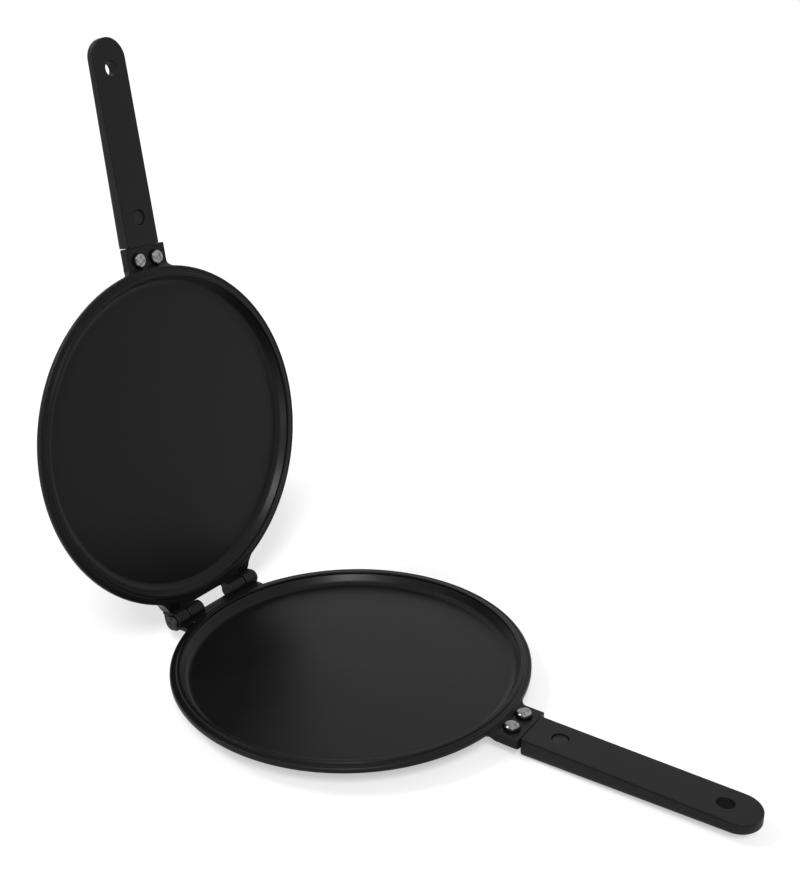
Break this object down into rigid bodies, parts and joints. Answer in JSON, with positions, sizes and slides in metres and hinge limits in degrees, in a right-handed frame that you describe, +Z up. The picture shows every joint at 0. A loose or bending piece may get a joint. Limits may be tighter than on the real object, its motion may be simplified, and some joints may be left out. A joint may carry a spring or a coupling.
{
  "type": "double-sided frying pan",
  "caption": "Double-sided frying pan: two shallow round non-stick pans hinged at the rim, each with a riveted half handle that has a hanging hole.",
  "frame": {"origin": "centre of the flat underside of the lower pan", "axes": "+Z up out of the lower pan, +X from the hinge towards the tip of the lower handle, +Y along the hinge axis"},
  "size_m": [0.4313, 0.22, 0.3779],
  "materials": {
    "black_nonstick_coating": "satin black non-stick coating on cast aluminium",
    "black_phenolic": "matte moulded phenolic resin",
    "polished_steel": "polished",
    "blackened_strap_steel": "blackened",
    "dull_pin_steel": "dull grey"
  },
  "bodies": {
    "lower_half": {"lower_pan": "black_nonstick_coating", "lower_handle": "black_phenolic", "lower_handle_pin": "blackened_strap_steel", "lower_handle_strap": "blackened_strap_steel", "lower_rivet_left": "polished_steel", "lower_rivet_right": "polished_steel", "hinge_pin_left": "dull_pin_steel", "hinge_pin_right": "dull_pin_steel", "hinge_washer_left": "dull_pin_steel", "hinge_washer_right": "dull_pin_steel"},
    "upper_half": {"upper_pan": "black_nonstick_coating", "upper_handle": "black_phenolic", "upper_handle_pin": "blackened_strap_steel", "upper_handle_strap": "blackened_strap_steel", "upper_rivet_left": "polished_steel", "upper_rivet_right": "polished_steel"}
  },
  "joints": [
    {"name": "pan_hinge", "type": "hinge", "parent": "lower_half", "child": "upper_half", "pos_m": [-0.1155, 0, 0.01665], "axis": [0, 1, 0], "range_deg": [0, 98.6]}
  ]
}
